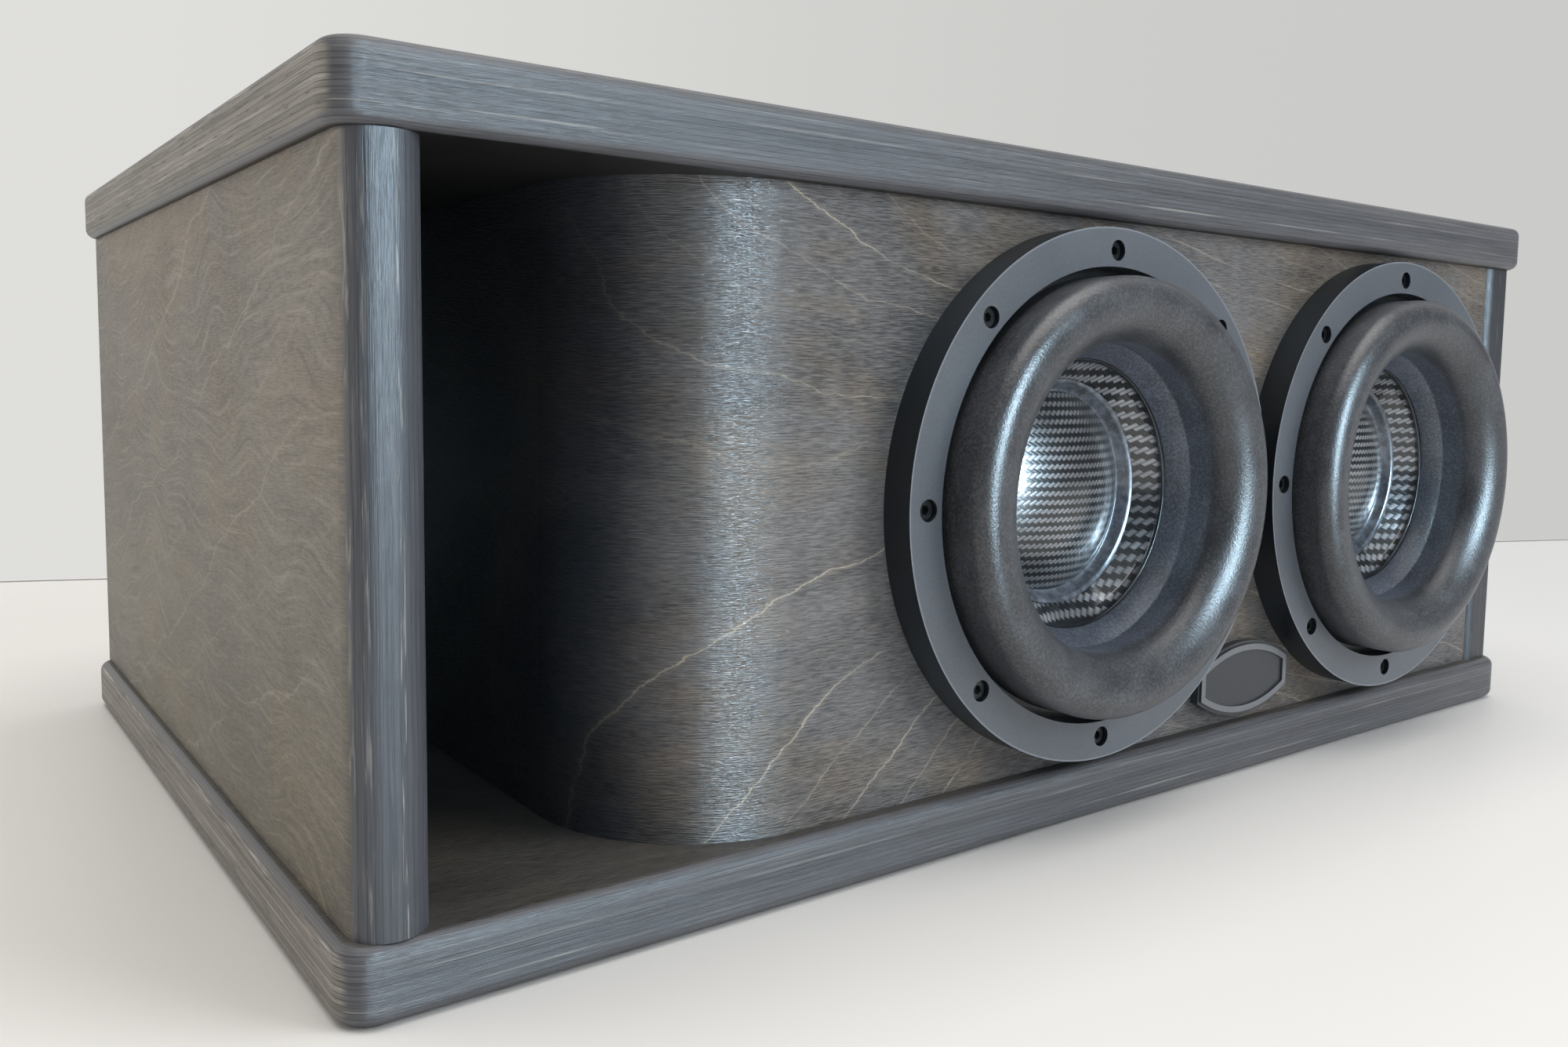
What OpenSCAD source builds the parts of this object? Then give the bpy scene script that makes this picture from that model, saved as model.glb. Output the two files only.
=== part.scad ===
// Slot-ported subwoofer cabinet with two identical long-throw drivers.
// Frame: +Z up, the drivers face -Y, +X is to the right seen from the front.
// The origin is the middle of the footprint, on the surface the cabinet stands on.

/* [Cabinet] */
// Width of the top and bottom panels
plate_w = 518; // [508:2:530]
// Depth of the top and bottom panels, front to back
plate_d = 334; // [326:2:360]
// Height of the cabinet
cabinet_h = 210; // [206:2:230]
// Thickness of every plywood panel
ply = 18; // [17:0.5:18.5]
// How far the top and bottom panels stand out past the sides and the back
overhang = 4; // [3.5:0.5:6]
// Plan radius of the top and bottom panels' corners
corner_r = 9; // [6:1:12]
// Radius of the rounded edges of the top and bottom panels
edge_r = 3.5; // [2:0.5:4]
// How far the baffle's face lies behind the front of the top and bottom panels
baffle_recess = 6; // [5:0.5:8]

/* [Slot port] */
// Width of the slot
port_w = 49; // [46:1:50]
// Outside radius of the bend that leads the baffle into the port
bend_r = 50; // [44:1:50]
// Depth of the bent baffle panel, from the front of the cabinet
bend_depth = 150; // [130:5:170]
// Length of the panel that turns the port along the back
return_len = 288; // [240:4:290]

/* [Drivers] */
// Middle of the left driver, from the middle of the cabinet
left_x = -23; // [-24:0.5:-22]
// Middle of the right driver, from the middle of the cabinet
right_x = 149; // [148:0.5:150]
// Outside radius of the trim ring
ring_r = 83.5; // [83:0.25:84]
// Inside radius of the trim ring
ring_bore_r = 71.5; // [71:0.25:72]
// Thickness of the trim ring
ring_t = 11; // [9:0.5:12]
// Radius of the circle of mounting screws
screw_circle_r = 76.5; // [76.25:0.25:76.75]
// Number of mounting screws on a driver
screw_count = 8; // [6:1:8]
// Radius of the baffle's cut-out for a driver
cutout_r = 71.5; // [71:0.25:72]
// How far the roll of the surround stands in front of the baffle
roll_h = 25; // [23:0.5:26]

/* [Terminals] */
// Middle of the terminal cup, from the middle of the cabinet
cup_x = 170; // [166:1:176]
// Distance between the two binding posts
post_spacing = 19.05; // [19.05:0.05:22]
// Radius of the banana socket in a binding post
socket_r = 2; // [1.95:0.05:2.05]

/* [Hidden] */
DRIVER_PARTS = ["trim_ring", "mounting_screws", "surround", "cone", "dust_cap",
    "voice_coil_former", "voice_coil_winding", "spider", "basket", "basket_gasket",
    "top_plate", "magnet", "back_plate", "terminal_strip", "tinsel_leads"];
POST_PARTS = ["post_stud", "post_base", "post_washer", "post_cap", "speaker_wires"];
DRIVERS = [["left", left_x], ["right", right_x]];
POSTS = [["red", 1], ["black", -1]];

$fn = 96;
eps = 0.01;

// cabinet, with depths counted back from the front edge of the top and bottom panels
roll_proud = roll_h - baffle_recess;
front_y = -(plate_d - roll_proud) / 2;
inner_h = cabinet_h - 2 * ply;
mid_z = cabinet_h / 2;
side_x = plate_w / 2 - overhang;
inner_x = side_x - ply;
back_y = plate_d - overhang;
back_inner_y = back_y - ply;
divider_x = -inner_x + port_w;
return_y = back_inner_y - port_w;
nose_recess = 1.5;
right_recess = 4.5;
right_edge_r = 3;
groove_r = 4.5;

// badge
badge_x = 65;
badge_z = 34;
badge_w = 54;
badge_h = 27;
badge_side_h = 12;
badge_t = 3;
badge_rim = 2.4;
badge_rim_h = 0.8;

// mounting screws
screw_r = 1.6;
screw_len = 22;
head_r = 2.9;
head_h = 3.4;
counterbore_r = 3.2;
ring_step = 4.5;
seat_h = 6;
flange_r = 80.25;
gasket_t = 0.5;
flange_t = 3;

// moving parts, with heights counted forward from the baffle's face
cone_slope = 1.195;
foam_t = 1.6;
foam_gap = 0.1;
cone_t = 1.5;
lip_r = 48.5;
lip_in_r = 43.5;
lip_h = 5.5;
roll_out_r = 68.5;
roll_crest_r = 61.5;
coil_r = 25.4;
former_t = 0.4;
former_bottom = -64;
winding_top = -41;
winding_bottom = -63;
winding_t = 0.8;
cap_r = 32.6;
cap_rise = 11.6;
cap_flange_r = 36.7;
cap_t = 1;
spider_r = 57.5;
spider_h = -32.9;
spider_t = 0.7;
spider_rim = 3;
spider_wave = 1.6;
spider_waves = 5;

// motor, with heights counted forward from the baffle's face
shelf_h = -34;
seat_plate_h = -46;
top_plate_t = 8;
magnet_t = 36;
back_plate_t = 8;
motor_r = 55;
gap_r = 26.9;
pole_r = 24.4;
vent_r = 8;
basket_wall = 3;
strip_y = 58;
strip_t = 1.6;
tab_x = 9;
tab_t = 0.8;
tab_len = 10;

// terminals
cup_flange_r = 40;
cup_flange_t = 2.5;
cup_recess = 22;
cup_bore_r = 27;
cup_wall = 2;
cup_screw_circle = 35;
cup_gasket_t = 0.5;
stud_r = 3;
stud_clearance = 0.05;
socket_len = 14;
base_t = 2.5;
washer_t = 1.2;
cap_len = 15;
cap_body_r = 6;
cap_flutes = 16;
wire_r = 1.3;
wire_bend = 3;

// height in front of the baffle's face of the visible face of the foam lip, at a radius
function lip_face(r) = lip_h - (lip_r - r) * cone_slope;
// the same for the face of the cone under it
function cone_face(r) = lip_face(r) - foam_t - foam_gap;

// ---------------------------------------------------------------- helpers

module from_front() { translate([0, front_y, 0]) children(); }

module at_driver(x) {
    translate([x, front_y + baffle_recess, mid_z]) rotate([90, 0, 0]) children();
}

module at_cup() {
    translate([cup_x, front_y + back_y, mid_z]) rotate([-90, 0, 0]) children();
}

module tube(r_out, r_in, h0, h1) {
    translate([0, 0, h0]) difference() {
        cylinder(r = r_out, h = h1 - h0);
        translate([0, 0, -1]) cylinder(r = r_in, h = h1 - h0 + 2);
    }
}

module screw_places(n, r) {
    for (i = [0:n - 1]) rotate(i * 360 / n + 90) translate([r, 0, 0]) children();
}

// one profile of a panel's edge: from the corner's centre outwards, rounded above and below
module edge_profile() {
    square([corner_r - edge_r, ply]);
    translate([0, edge_r]) square([corner_r, ply - 2 * edge_r]);
    for (z = [edge_r, ply - edge_r]) translate([corner_r - edge_r, z]) circle(edge_r);
}

// a panel with rounded corners in plan and rounded edges, its lower face at z = 0
module rounded_panel() {
    w = plate_w - 2 * corner_r;
    d = plate_d - 2 * corner_r;
    translate([-w / 2, corner_r, 0]) cube([w, d, ply]);
    for (s = [-1, 1]) {
        translate([s * w / 2, corner_r + (s > 0 ? 0 : d), 0]) rotate([90, 0, s > 0 ? 0 : 180])
            mirror([0, 0, 1]) linear_extrude(d) edge_profile();
        translate([s * w / 2, corner_r + (s > 0 ? d : 0), 0]) rotate([90, 0, s > 0 ? 90 : -90])
            mirror([0, 0, 1]) linear_extrude(w) edge_profile();
    }
    for (c = [[1, 1, 0], [-1, 1, 90], [-1, 0, 180], [1, 0, 270]])
        translate([c[0] * w / 2, corner_r + c[1] * d, 0]) rotate(c[2])
            rotate_extrude(angle = 90) edge_profile();
}

function unit(v) = v / norm(v);

module along(v) { rotate([0, acos(v[2]), atan2(v[1], v[0])]) children(); }

// a thin lead along a list of points, with a slightly larger bead at each bend
module lead(points, r) {
    for (i = [0:len(points) - 2]) {
        v = points[i + 1] - points[i];
        translate(points[i]) along(unit(v)) cylinder(r = r, h = norm(v));
    }
    for (i = [1:len(points) - 2]) translate(points[i]) sphere(r * 1.2);
}

// a wire through points that lie square to each other, with a round bend at each
module bent_wire(points, r, bend) {
    last = len(points) - 1;
    for (i = [0:last - 1]) {
        v = points[i + 1] - points[i];
        from = i > 0 ? bend : 0;
        to = i < last - 1 ? bend : 0;
        translate(points[i] + unit(v) * from) along(unit(v)) cylinder(r = r, h = norm(v) - from - to);
    }
    for (i = [1:last - 1]) {
        a = unit(points[i] - points[i - 1]);
        b = unit(points[i + 1] - points[i]);
        c = cross(a, b);
        translate(points[i] + (b - a) * bend)
            multmatrix([[-b[0], a[0], c[0], 0], [-b[1], a[1], c[1], 0], [-b[2], a[2], c[2], 0]])
            rotate_extrude(angle = 90) translate([bend, 0]) circle(r);
    }
}

// ---------------------------------------------------------------- cabinet

module bottom_panel() { color("#55555a") from_front() rounded_panel(); }

module top_panel() {
    color("#55555a") from_front() translate([0, 0, cabinet_h - ply]) rounded_panel();
}

// side panel with its front edge turned to a half round
module left_side_panel() {
    color("#66625e") from_front() translate([-side_x, 0, ply]) linear_extrude(inner_h) {
        translate([ply / 2, nose_recess + ply / 2]) circle(ply / 2);
        translate([0, nose_recess + ply / 2]) square([ply, back_y - nose_recess - ply / 2]);
    }
}

// side panel with an eased front edge, which leaves a groove beside the baffle
module right_side_panel() {
    color("#66625e") from_front() translate([0, 0, ply]) linear_extrude(inner_h) {
        translate([inner_x, right_recess + groove_r]) square([ply, back_y - right_recess - groove_r]);
        translate([inner_x + groove_r, right_recess]) square([ply - groove_r - right_edge_r, groove_r]);
        translate([inner_x + groove_r, right_recess + groove_r]) circle(groove_r);
        translate([side_x - right_edge_r, right_recess + right_edge_r]) circle(right_edge_r);
        translate([side_x - right_edge_r - eps, right_recess + right_edge_r])
            square([right_edge_r + eps, groove_r]);
    }
}

module back_panel() {
    color("#4c4c50") difference() {
        from_front() translate([-inner_x, back_inner_y, ply]) cube([2 * inner_x, ply, inner_h]);
        at_cup() translate([0, 0, -ply - 1]) cylinder(r = cup_bore_r + cup_wall + 0.3, h = ply + 2);
        at_cup() screw_places(4, cup_screw_circle) translate([0, 0, -12]) cylinder(r = 1.5, h = 13);
    }
}

// the baffle and the bend are one panel, with the drivers' cut-outs and pilot holes
module curved_baffle() {
    color("#55585c") difference() {
        from_front() translate([0, 0, ply]) linear_extrude(inner_h) {
            translate([divider_x + bend_r, baffle_recess])
                square([inner_x - divider_x - bend_r, ply]);
            translate([divider_x, baffle_recess + bend_r])
                square([ply, bend_depth - baffle_recess - bend_r]);
            translate([divider_x + bend_r, baffle_recess + bend_r]) intersection() {
                difference() {
                    circle(bend_r);
                    circle(bend_r - ply);
                }
                translate([-bend_r, -bend_r]) square(bend_r);
            }
        }
        for (d = DRIVERS) at_driver(d[1]) {
            translate([0, 0, -ply - 1]) cylinder(r = cutout_r, h = ply + 2);
            screw_places(screw_count, screw_circle_r)
                translate([0, 0, seat_h - screw_len]) cylinder(r = screw_r, h = screw_len);
        }
    }
}

// the port's inner wall, behind the bent panel
module port_divider() {
    color("#4c4c50") from_front() translate([divider_x, bend_depth, ply])
        cube([ply, return_y - ply - bend_depth, inner_h]);
}

// turns the port along the back of the cabinet
module port_return_panel() {
    color("#4c4c50") from_front() translate([divider_x, return_y - ply, ply])
        cube([return_len, ply, inner_h]);
}

// plain six-sided badge with a raised rim; its long edges are arcs
module badge_outline(inset) {
    sag = (badge_h - badge_side_h) / 2;
    arc_r = (badge_w * badge_w / 4 + sag * sag) / (2 * sag);
    intersection() {
        square([badge_w - 2 * inset, badge_h], center = true);
        translate([0, badge_h / 2 - arc_r]) circle(arc_r - inset);
        translate([0, arc_r - badge_h / 2]) circle(arc_r - inset);
    }
}

module badge_plate() {
    color("#7d8085") from_front() translate([badge_x, baffle_recess, badge_z]) rotate([90, 0, 0]) {
        linear_extrude(badge_t) badge_outline(0);
        translate([0, 0, badge_t]) linear_extrude(badge_rim_h) difference() {
            badge_outline(badge_rim / 2);
            badge_outline(badge_rim * 1.4);
        }
    }
}

// ---------------------------------------------------------------- drivers

// metal ring with counterbored screw holes; a step behind it covers the basket's flange
module trim_ring(x) {
    color("#6f7277") at_driver(x) difference() {
        rotate_extrude() {
            translate([ring_bore_r, ring_step]) square([ring_r - ring_bore_r, ring_t - ring_step]);
            translate([flange_r + 0.25, 0]) square([ring_r - flange_r - 0.25, ring_step]);
        }
        screw_places(screw_count, screw_circle_r) {
            translate([0, 0, -1]) cylinder(r = screw_r + 0.2, h = ring_t + 2);
            translate([0, 0, seat_h]) cylinder(r = counterbore_r, h = ring_t);
        }
    }
}

module mounting_screws(x) {
    color("#202226") at_driver(x) screw_places(screw_count, screw_circle_r)
        translate([0, 0, seat_h]) {
            translate([0, 0, -screw_len]) cylinder(r = screw_r, h = screw_len);
            difference() {
                cylinder(r = head_r, h = head_h);
                translate([0, 0, head_h - 2]) cylinder(r = 1.5, h = 3, $fn = 6);
            }
        }
}

// high roll in section: a tight round outside its crest, a wide one inside, straight flanks below
module roll_section(inset) {
    outer = roll_out_r - roll_crest_r - inset;
    inner = roll_crest_r - lip_r - inset;
    top = roll_h - inset;
    translate([roll_crest_r, top - outer]) circle(outer);
    translate([roll_crest_r - 1, -2]) square([outer + 1, top - outer + 2]);
    translate([roll_crest_r, top - inner]) intersection() {
        circle(inner);
        translate([-inner - 1, -inner - 1]) square([inner + 1, 2 * inner + 2]);
    }
    translate([roll_crest_r - inner, -2]) square([inner, top - inner + 2]);
}

// foam roll with its outer flange under the trim ring and its inner lip on the cone
module surround(x) {
    seat = gasket_t + flange_t;
    color("#3a3d42") at_driver(x) difference() {
        rotate_extrude() {
            difference() {
                roll_section(0);
                roll_section(foam_t);
                translate([lip_in_r, -4])
                    square([roll_crest_r - lip_in_r, 4 + lip_face(lip_r) - foam_t]);
                translate([roll_crest_r - eps, -4]) square([30, 4 + seat]);
            }
            translate([roll_out_r - foam_t, seat])
                square([flange_r - roll_out_r + foam_t, ring_step - seat]);
            polygon([[lip_in_r, lip_face(lip_in_r) - foam_t],
                [lip_r + foam_t, lip_face(lip_r + foam_t) - foam_t],
                [lip_r + foam_t, lip_face(lip_r + foam_t)], [lip_in_r, lip_face(lip_in_r)]]);
        }
        screw_places(screw_count, screw_circle_r) cylinder(r = screw_r + 0.2, h = ring_t);
    }
}

module cone(x) {
    neck = coil_r;
    color("#2c2e33") at_driver(x) rotate_extrude()
        polygon([[neck, cone_face(neck)], [lip_r, cone_face(lip_r)],
            [lip_r, cone_face(lip_r) - cone_t], [neck, cone_face(neck) - cone_t]]);
}

// domed cap with a rim that lies on the cone
module dust_cap(x) {
    foot = cone_face(cap_r);
    sphere_r = (cap_r * cap_r + cap_rise * cap_rise) / (2 * cap_rise);
    centre = foot + foam_t + cap_rise - sphere_r;
    color("#33363b") at_driver(x) rotate_extrude() {
        intersection() {
            translate([0, centre]) difference() {
                circle(sphere_r);
                circle(sphere_r - cap_t);
            }
            translate([0, foot + foam_t]) square([cap_r, cap_rise + 1]);
        }
        polygon([[cap_r - cap_t, foot + foam_t + eps * 20], [cap_r - cap_t, cone_face(cap_r - cap_t)],
            [cap_flange_r, cone_face(cap_flange_r)], [cap_flange_r, cone_face(cap_flange_r) + 1],
            [cap_r, foot + foam_t + eps * 20]]);
    }
}

module voice_coil_former(x) {
    color("#b08d57") at_driver(x) tube(coil_r, coil_r - former_t, former_bottom, cone_face(coil_r));
}

module voice_coil_winding(x) {
    color("#b87333") at_driver(x) tube(coil_r + winding_t, coil_r, winding_bottom, winding_top);
}

// corrugated disc between the former and the basket's shelf
module spider(x) {
    steps = spider_waves * 8;
    r0 = coil_r + 0.1;
    r1 = spider_r - spider_rim;
    line = [for (i = [0:steps]) let (k = i / steps)
        [r0 + (r1 - r0) * k, spider_h + spider_wave * sin(k * spider_waves * 360) * sin(k * 180)]];
    color("#c8b16a") at_driver(x) rotate_extrude()
        polygon(concat(line, [[r1, shelf_h], [spider_r, shelf_h], [spider_r, spider_h + spider_t]],
            [for (i = [steps:-1:0]) line[i] + [0, spider_t]]));
}

// cast basket with six windows, a shelf for the spider and a seat for the motor
module basket(x) {
    w = basket_wall;
    top_r = cutout_r - 1.5;
    color("#26282b") at_driver(x) difference() {
        rotate_extrude() {
            translate([top_r - w, gasket_t]) square([flange_r - top_r + w, flange_t]);
            polygon([[top_r, gasket_t + flange_t], [top_r - w, gasket_t + flange_t],
                [spider_r, shelf_h], [spider_r + w, shelf_h]]);
            translate([spider_r - 5.5, shelf_h - w]) square([5.5 + w, w]);
            translate([motor_r - w, seat_plate_h]) square([w, shelf_h - seat_plate_h - w + eps]);
            translate([gap_r + 3, seat_plate_h]) square([motor_r - gap_r - 3, w]);
        }
        for (i = [0:5]) rotate(i * 60 + 30) {
            translate([spider_r - 2, -22, shelf_h]) cube([30, 44, -shelf_h - 3]);
            translate([motor_r - 8, -14, seat_plate_h + w]) cube([12, 28, shelf_h - seat_plate_h - 2 * w]);
        }
        screw_places(screw_count, screw_circle_r) cylinder(r = screw_r + 0.2, h = 10);
    }
}

module basket_gasket(x) {
    color("#1b1b1d") at_driver(x) difference() {
        tube(flange_r, cutout_r + 0.5, 0, gasket_t);
        screw_places(screw_count, screw_circle_r) translate([0, 0, -1]) cylinder(r = screw_r + 0.2, h = 4);
    }
}

module top_plate(x) {
    color("#8d9094") at_driver(x) tube(motor_r, gap_r, seat_plate_h - top_plate_t, seat_plate_h);
}

module magnet(x) {
    h = seat_plate_h - top_plate_t;
    color("#3b3b3d") at_driver(x) tube(motor_r + 2, 32, h - magnet_t, h);
}

// back plate and pole piece in one, with a vent through the middle
module back_plate(x) {
    h = seat_plate_h - top_plate_t - magnet_t;
    color("#8d9094") at_driver(x) difference() {
        union() {
            translate([0, 0, h - back_plate_t]) cylinder(r = motor_r, h = back_plate_t);
            translate([0, 0, h - 1]) cylinder(r = pole_r, h = seat_plate_h - h + 1);
        }
        translate([0, 0, h - back_plate_t - 1]) cylinder(r = vent_r, h = 100);
    }
}

// insulating strip on the basket's shelf, with two solder tabs
module terminal_strip(x) {
    color("#7a5a36") at_driver(x) translate([0, strip_y, shelf_h]) {
        translate([-14, 0, 0]) cube([28, 8, strip_t]);
        for (s = [-1, 1]) translate([s * tab_x - 2, 2, strip_t]) cube([4, tab_len, tab_t]);
    }
}

// braided leads from the back of the cone out to the tabs
module tinsel_leads(x) {
    r = 0.8;
    color("#b9a27c") at_driver(x) for (s = [-1, 1])
        lead([[s * tab_x, 36, cone_face(37) - cone_t - 2 * r], [s * tab_x, 42, -16],
            [s * tab_x, 52, -20], [s * tab_x, strip_y + 4, shelf_h + strip_t + tab_t + r]], r);
}

// ---------------------------------------------------------------- terminals

module terminal_cup() {
    floor_h = cup_flange_t - cup_recess;
    color("#1d1e20") at_cup() difference() {
        union() {
            translate([0, 0, cup_gasket_t]) cylinder(r = cup_flange_r, h = cup_flange_t - cup_gasket_t);
            translate([0, 0, floor_h - cup_wall])
                cylinder(r = cup_bore_r + cup_wall, h = cup_recess + cup_wall - 0.5);
        }
        translate([0, 0, floor_h]) cylinder(r = cup_bore_r, h = cup_recess + 1);
        for (p = POSTS) translate([p[1] * post_spacing / 2, 0, floor_h - 5])
            cylinder(r = stud_r + stud_clearance, h = 10);
        screw_places(4, cup_screw_circle) {
            translate([0, 0, -1]) cylinder(r = 1.8, h = 5);
            translate([0, 0, cup_flange_t - 1.2]) cylinder(r = 3.4, h = 2);
        }
    }
}

module cup_gasket() {
    color("#2a2a2c") at_cup() difference() {
        tube(cup_flange_r - 1, cup_bore_r + cup_wall + 0.3, 0, cup_gasket_t);
        screw_places(4, cup_screw_circle) translate([0, 0, -1]) cylinder(r = 1.8, h = 3);
    }
}

module cup_screws() {
    seat = cup_flange_t - 1.2;
    color("#2b2b2d") at_cup() screw_places(4, cup_screw_circle) {
        translate([0, 0, -12]) cylinder(r = 1.5, h = 12 + seat);
        difference() {
            translate([0, 0, seat]) cylinder(r = 3.1, h = 1.2);
            for (a = [0, 90]) rotate(a) translate([-1.8, -0.4, seat + 0.4]) cube([3.6, 0.8, 2]);
        }
    }
}

module at_post(s) {
    at_cup() translate([s * post_spacing / 2, 0, cup_flange_t - cup_recess]) children();
}

module post_stud(s) {
    outer = base_t + washer_t + cap_len - 1.5;
    color("#c9a24a") at_post(s) difference() {
        translate([0, 0, -14]) cylinder(r = stud_r, h = 14 + outer);
        translate([0, 0, outer - socket_len]) cylinder(r = socket_r, h = socket_len + 1);
    }
}

module post_base(s) {
    color(s > 0 ? "#b3202a" : "#1c1c1e") at_post(s) tube(cap_body_r + 0.5, stud_r, 0, base_t);
}

module post_washer(s) {
    color("#c9a24a") at_post(s) tube(5.4, stud_r + 0.2, base_t, base_t + washer_t);
}

// fluted cap on the stud's thread, open at its outer end for a plug
module post_cap(s) {
    color(s > 0 ? "#b3202a" : "#1c1c1e") at_post(s) translate([0, 0, base_t + washer_t]) difference() {
        union() {
            cylinder(r = cap_body_r + 0.5, h = 2);
            cylinder(r = cap_body_r, h = cap_len);
        }
        translate([0, 0, -1]) cylinder(r = stud_r + stud_clearance, h = cap_len - 0.5);
        cylinder(r = socket_r + 0.3, h = cap_len + 1);
        for (i = [0:cap_flutes - 1]) rotate(i * 360 / cap_flutes)
            translate([cap_body_r + 0.35, 0, 2.6]) cylinder(r = 0.75, h = cap_len);
    }
}

module post_nuts() {
    color("#c9a24a") for (p = POSTS) at_post(p[1]) difference() {
        translate([0, 0, -cup_wall - 4]) cylinder(r = 5.6, h = 4, $fn = 6);
        translate([0, 0, -cup_wall - 5]) cylinder(r = stud_r, h = 6);
    }
}

module solder_lugs() {
    color("#c9c4b4") for (p = POSTS) at_post(p[1]) translate([0, 0, -cup_wall - 5]) difference() {
        union() {
            cylinder(r = 5, h = 1);
            translate([-2, 0, 0]) cube([4, 13, 1]);
        }
        translate([0, 0, -1]) cylinder(r = stud_r, h = 3);
    }
}

// pair of wires from one binding post's lug to a tab of each driver, clipped under the top panel
module speaker_wires(s) {
    post_x = cup_x + s * post_spacing / 2;
    lug_y = back_y + cup_flange_t - cup_recess - cup_wall - 5;
    tab_y = baffle_recess - shelf_h - strip_t - tab_t / 2;
    tab_z = mid_z + strip_y + 2 + tab_len;
    loft = cabinet_h - ply - 12;
    color(s > 0 ? "#a82a2a" : "#222224") from_front()
        for (w = [[right_x, 11.1, 18, loft, 205], [left_x, 7.9, 12, loft + 5, 174]]) {
            lug_z = mid_z - w[1];
            rise_y = lug_y - w[2];
            cross_y = w[4] - s * 4;
            end_x = w[0] + s * tab_x;
            bent_wire([[post_x, lug_y, lug_z], [post_x, rise_y, lug_z], [post_x, rise_y, w[3]],
                [post_x, cross_y, w[3]], [end_x, cross_y, w[3]], [end_x, tab_y, w[3]],
                [end_x, tab_y, tab_z]], wire_r, wire_bend);
        }
}

// ---------------------------------------------------------------- what is drawn

top_panel();
bottom_panel();
left_side_panel();
right_side_panel();
back_panel();
curved_baffle();
port_divider();
port_return_panel();
badge_plate();
terminal_cup();
cup_gasket();
cup_screws();
post_nuts();
solder_lugs();
for (p = POSTS) {
    post_stud(p[1]);
    post_base(p[1]);
    post_washer(p[1]);
    post_cap(p[1]);
    speaker_wires(p[1]);
}
for (d = DRIVERS) {
    trim_ring(d[1]);
    mounting_screws(d[1]);
    surround(d[1]);
    cone(d[1]);
    dust_cap(d[1]);
    voice_coil_former(d[1]);
    voice_coil_winding(d[1]);
    spider(d[1]);
    basket(d[1]);
    basket_gasket(d[1]);
    top_plate(d[1]);
    magnet(d[1]);
    back_plate(d[1]);
    terminal_strip(d[1]);
    tinsel_leads(d[1]);
}
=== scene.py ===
import math

import bmesh
import bpy
import numpy as np
from mathutils import Matrix, Vector


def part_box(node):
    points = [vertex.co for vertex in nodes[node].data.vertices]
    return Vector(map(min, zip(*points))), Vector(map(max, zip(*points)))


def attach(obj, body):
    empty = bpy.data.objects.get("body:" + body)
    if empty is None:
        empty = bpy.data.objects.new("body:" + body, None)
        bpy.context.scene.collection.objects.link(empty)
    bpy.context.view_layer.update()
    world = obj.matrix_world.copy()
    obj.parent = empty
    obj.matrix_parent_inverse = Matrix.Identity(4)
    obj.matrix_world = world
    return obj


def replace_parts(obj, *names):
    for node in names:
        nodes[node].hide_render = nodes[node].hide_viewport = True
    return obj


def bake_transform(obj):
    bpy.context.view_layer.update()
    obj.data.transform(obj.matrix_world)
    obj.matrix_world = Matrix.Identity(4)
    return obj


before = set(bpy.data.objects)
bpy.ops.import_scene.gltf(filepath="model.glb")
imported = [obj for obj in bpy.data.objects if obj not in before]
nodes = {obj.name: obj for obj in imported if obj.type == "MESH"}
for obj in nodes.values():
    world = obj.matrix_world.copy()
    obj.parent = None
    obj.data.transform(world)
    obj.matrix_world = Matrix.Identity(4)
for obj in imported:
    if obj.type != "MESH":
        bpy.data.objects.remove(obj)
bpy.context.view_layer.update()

MM = 0.001
SIDES = ("left", "right")


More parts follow.
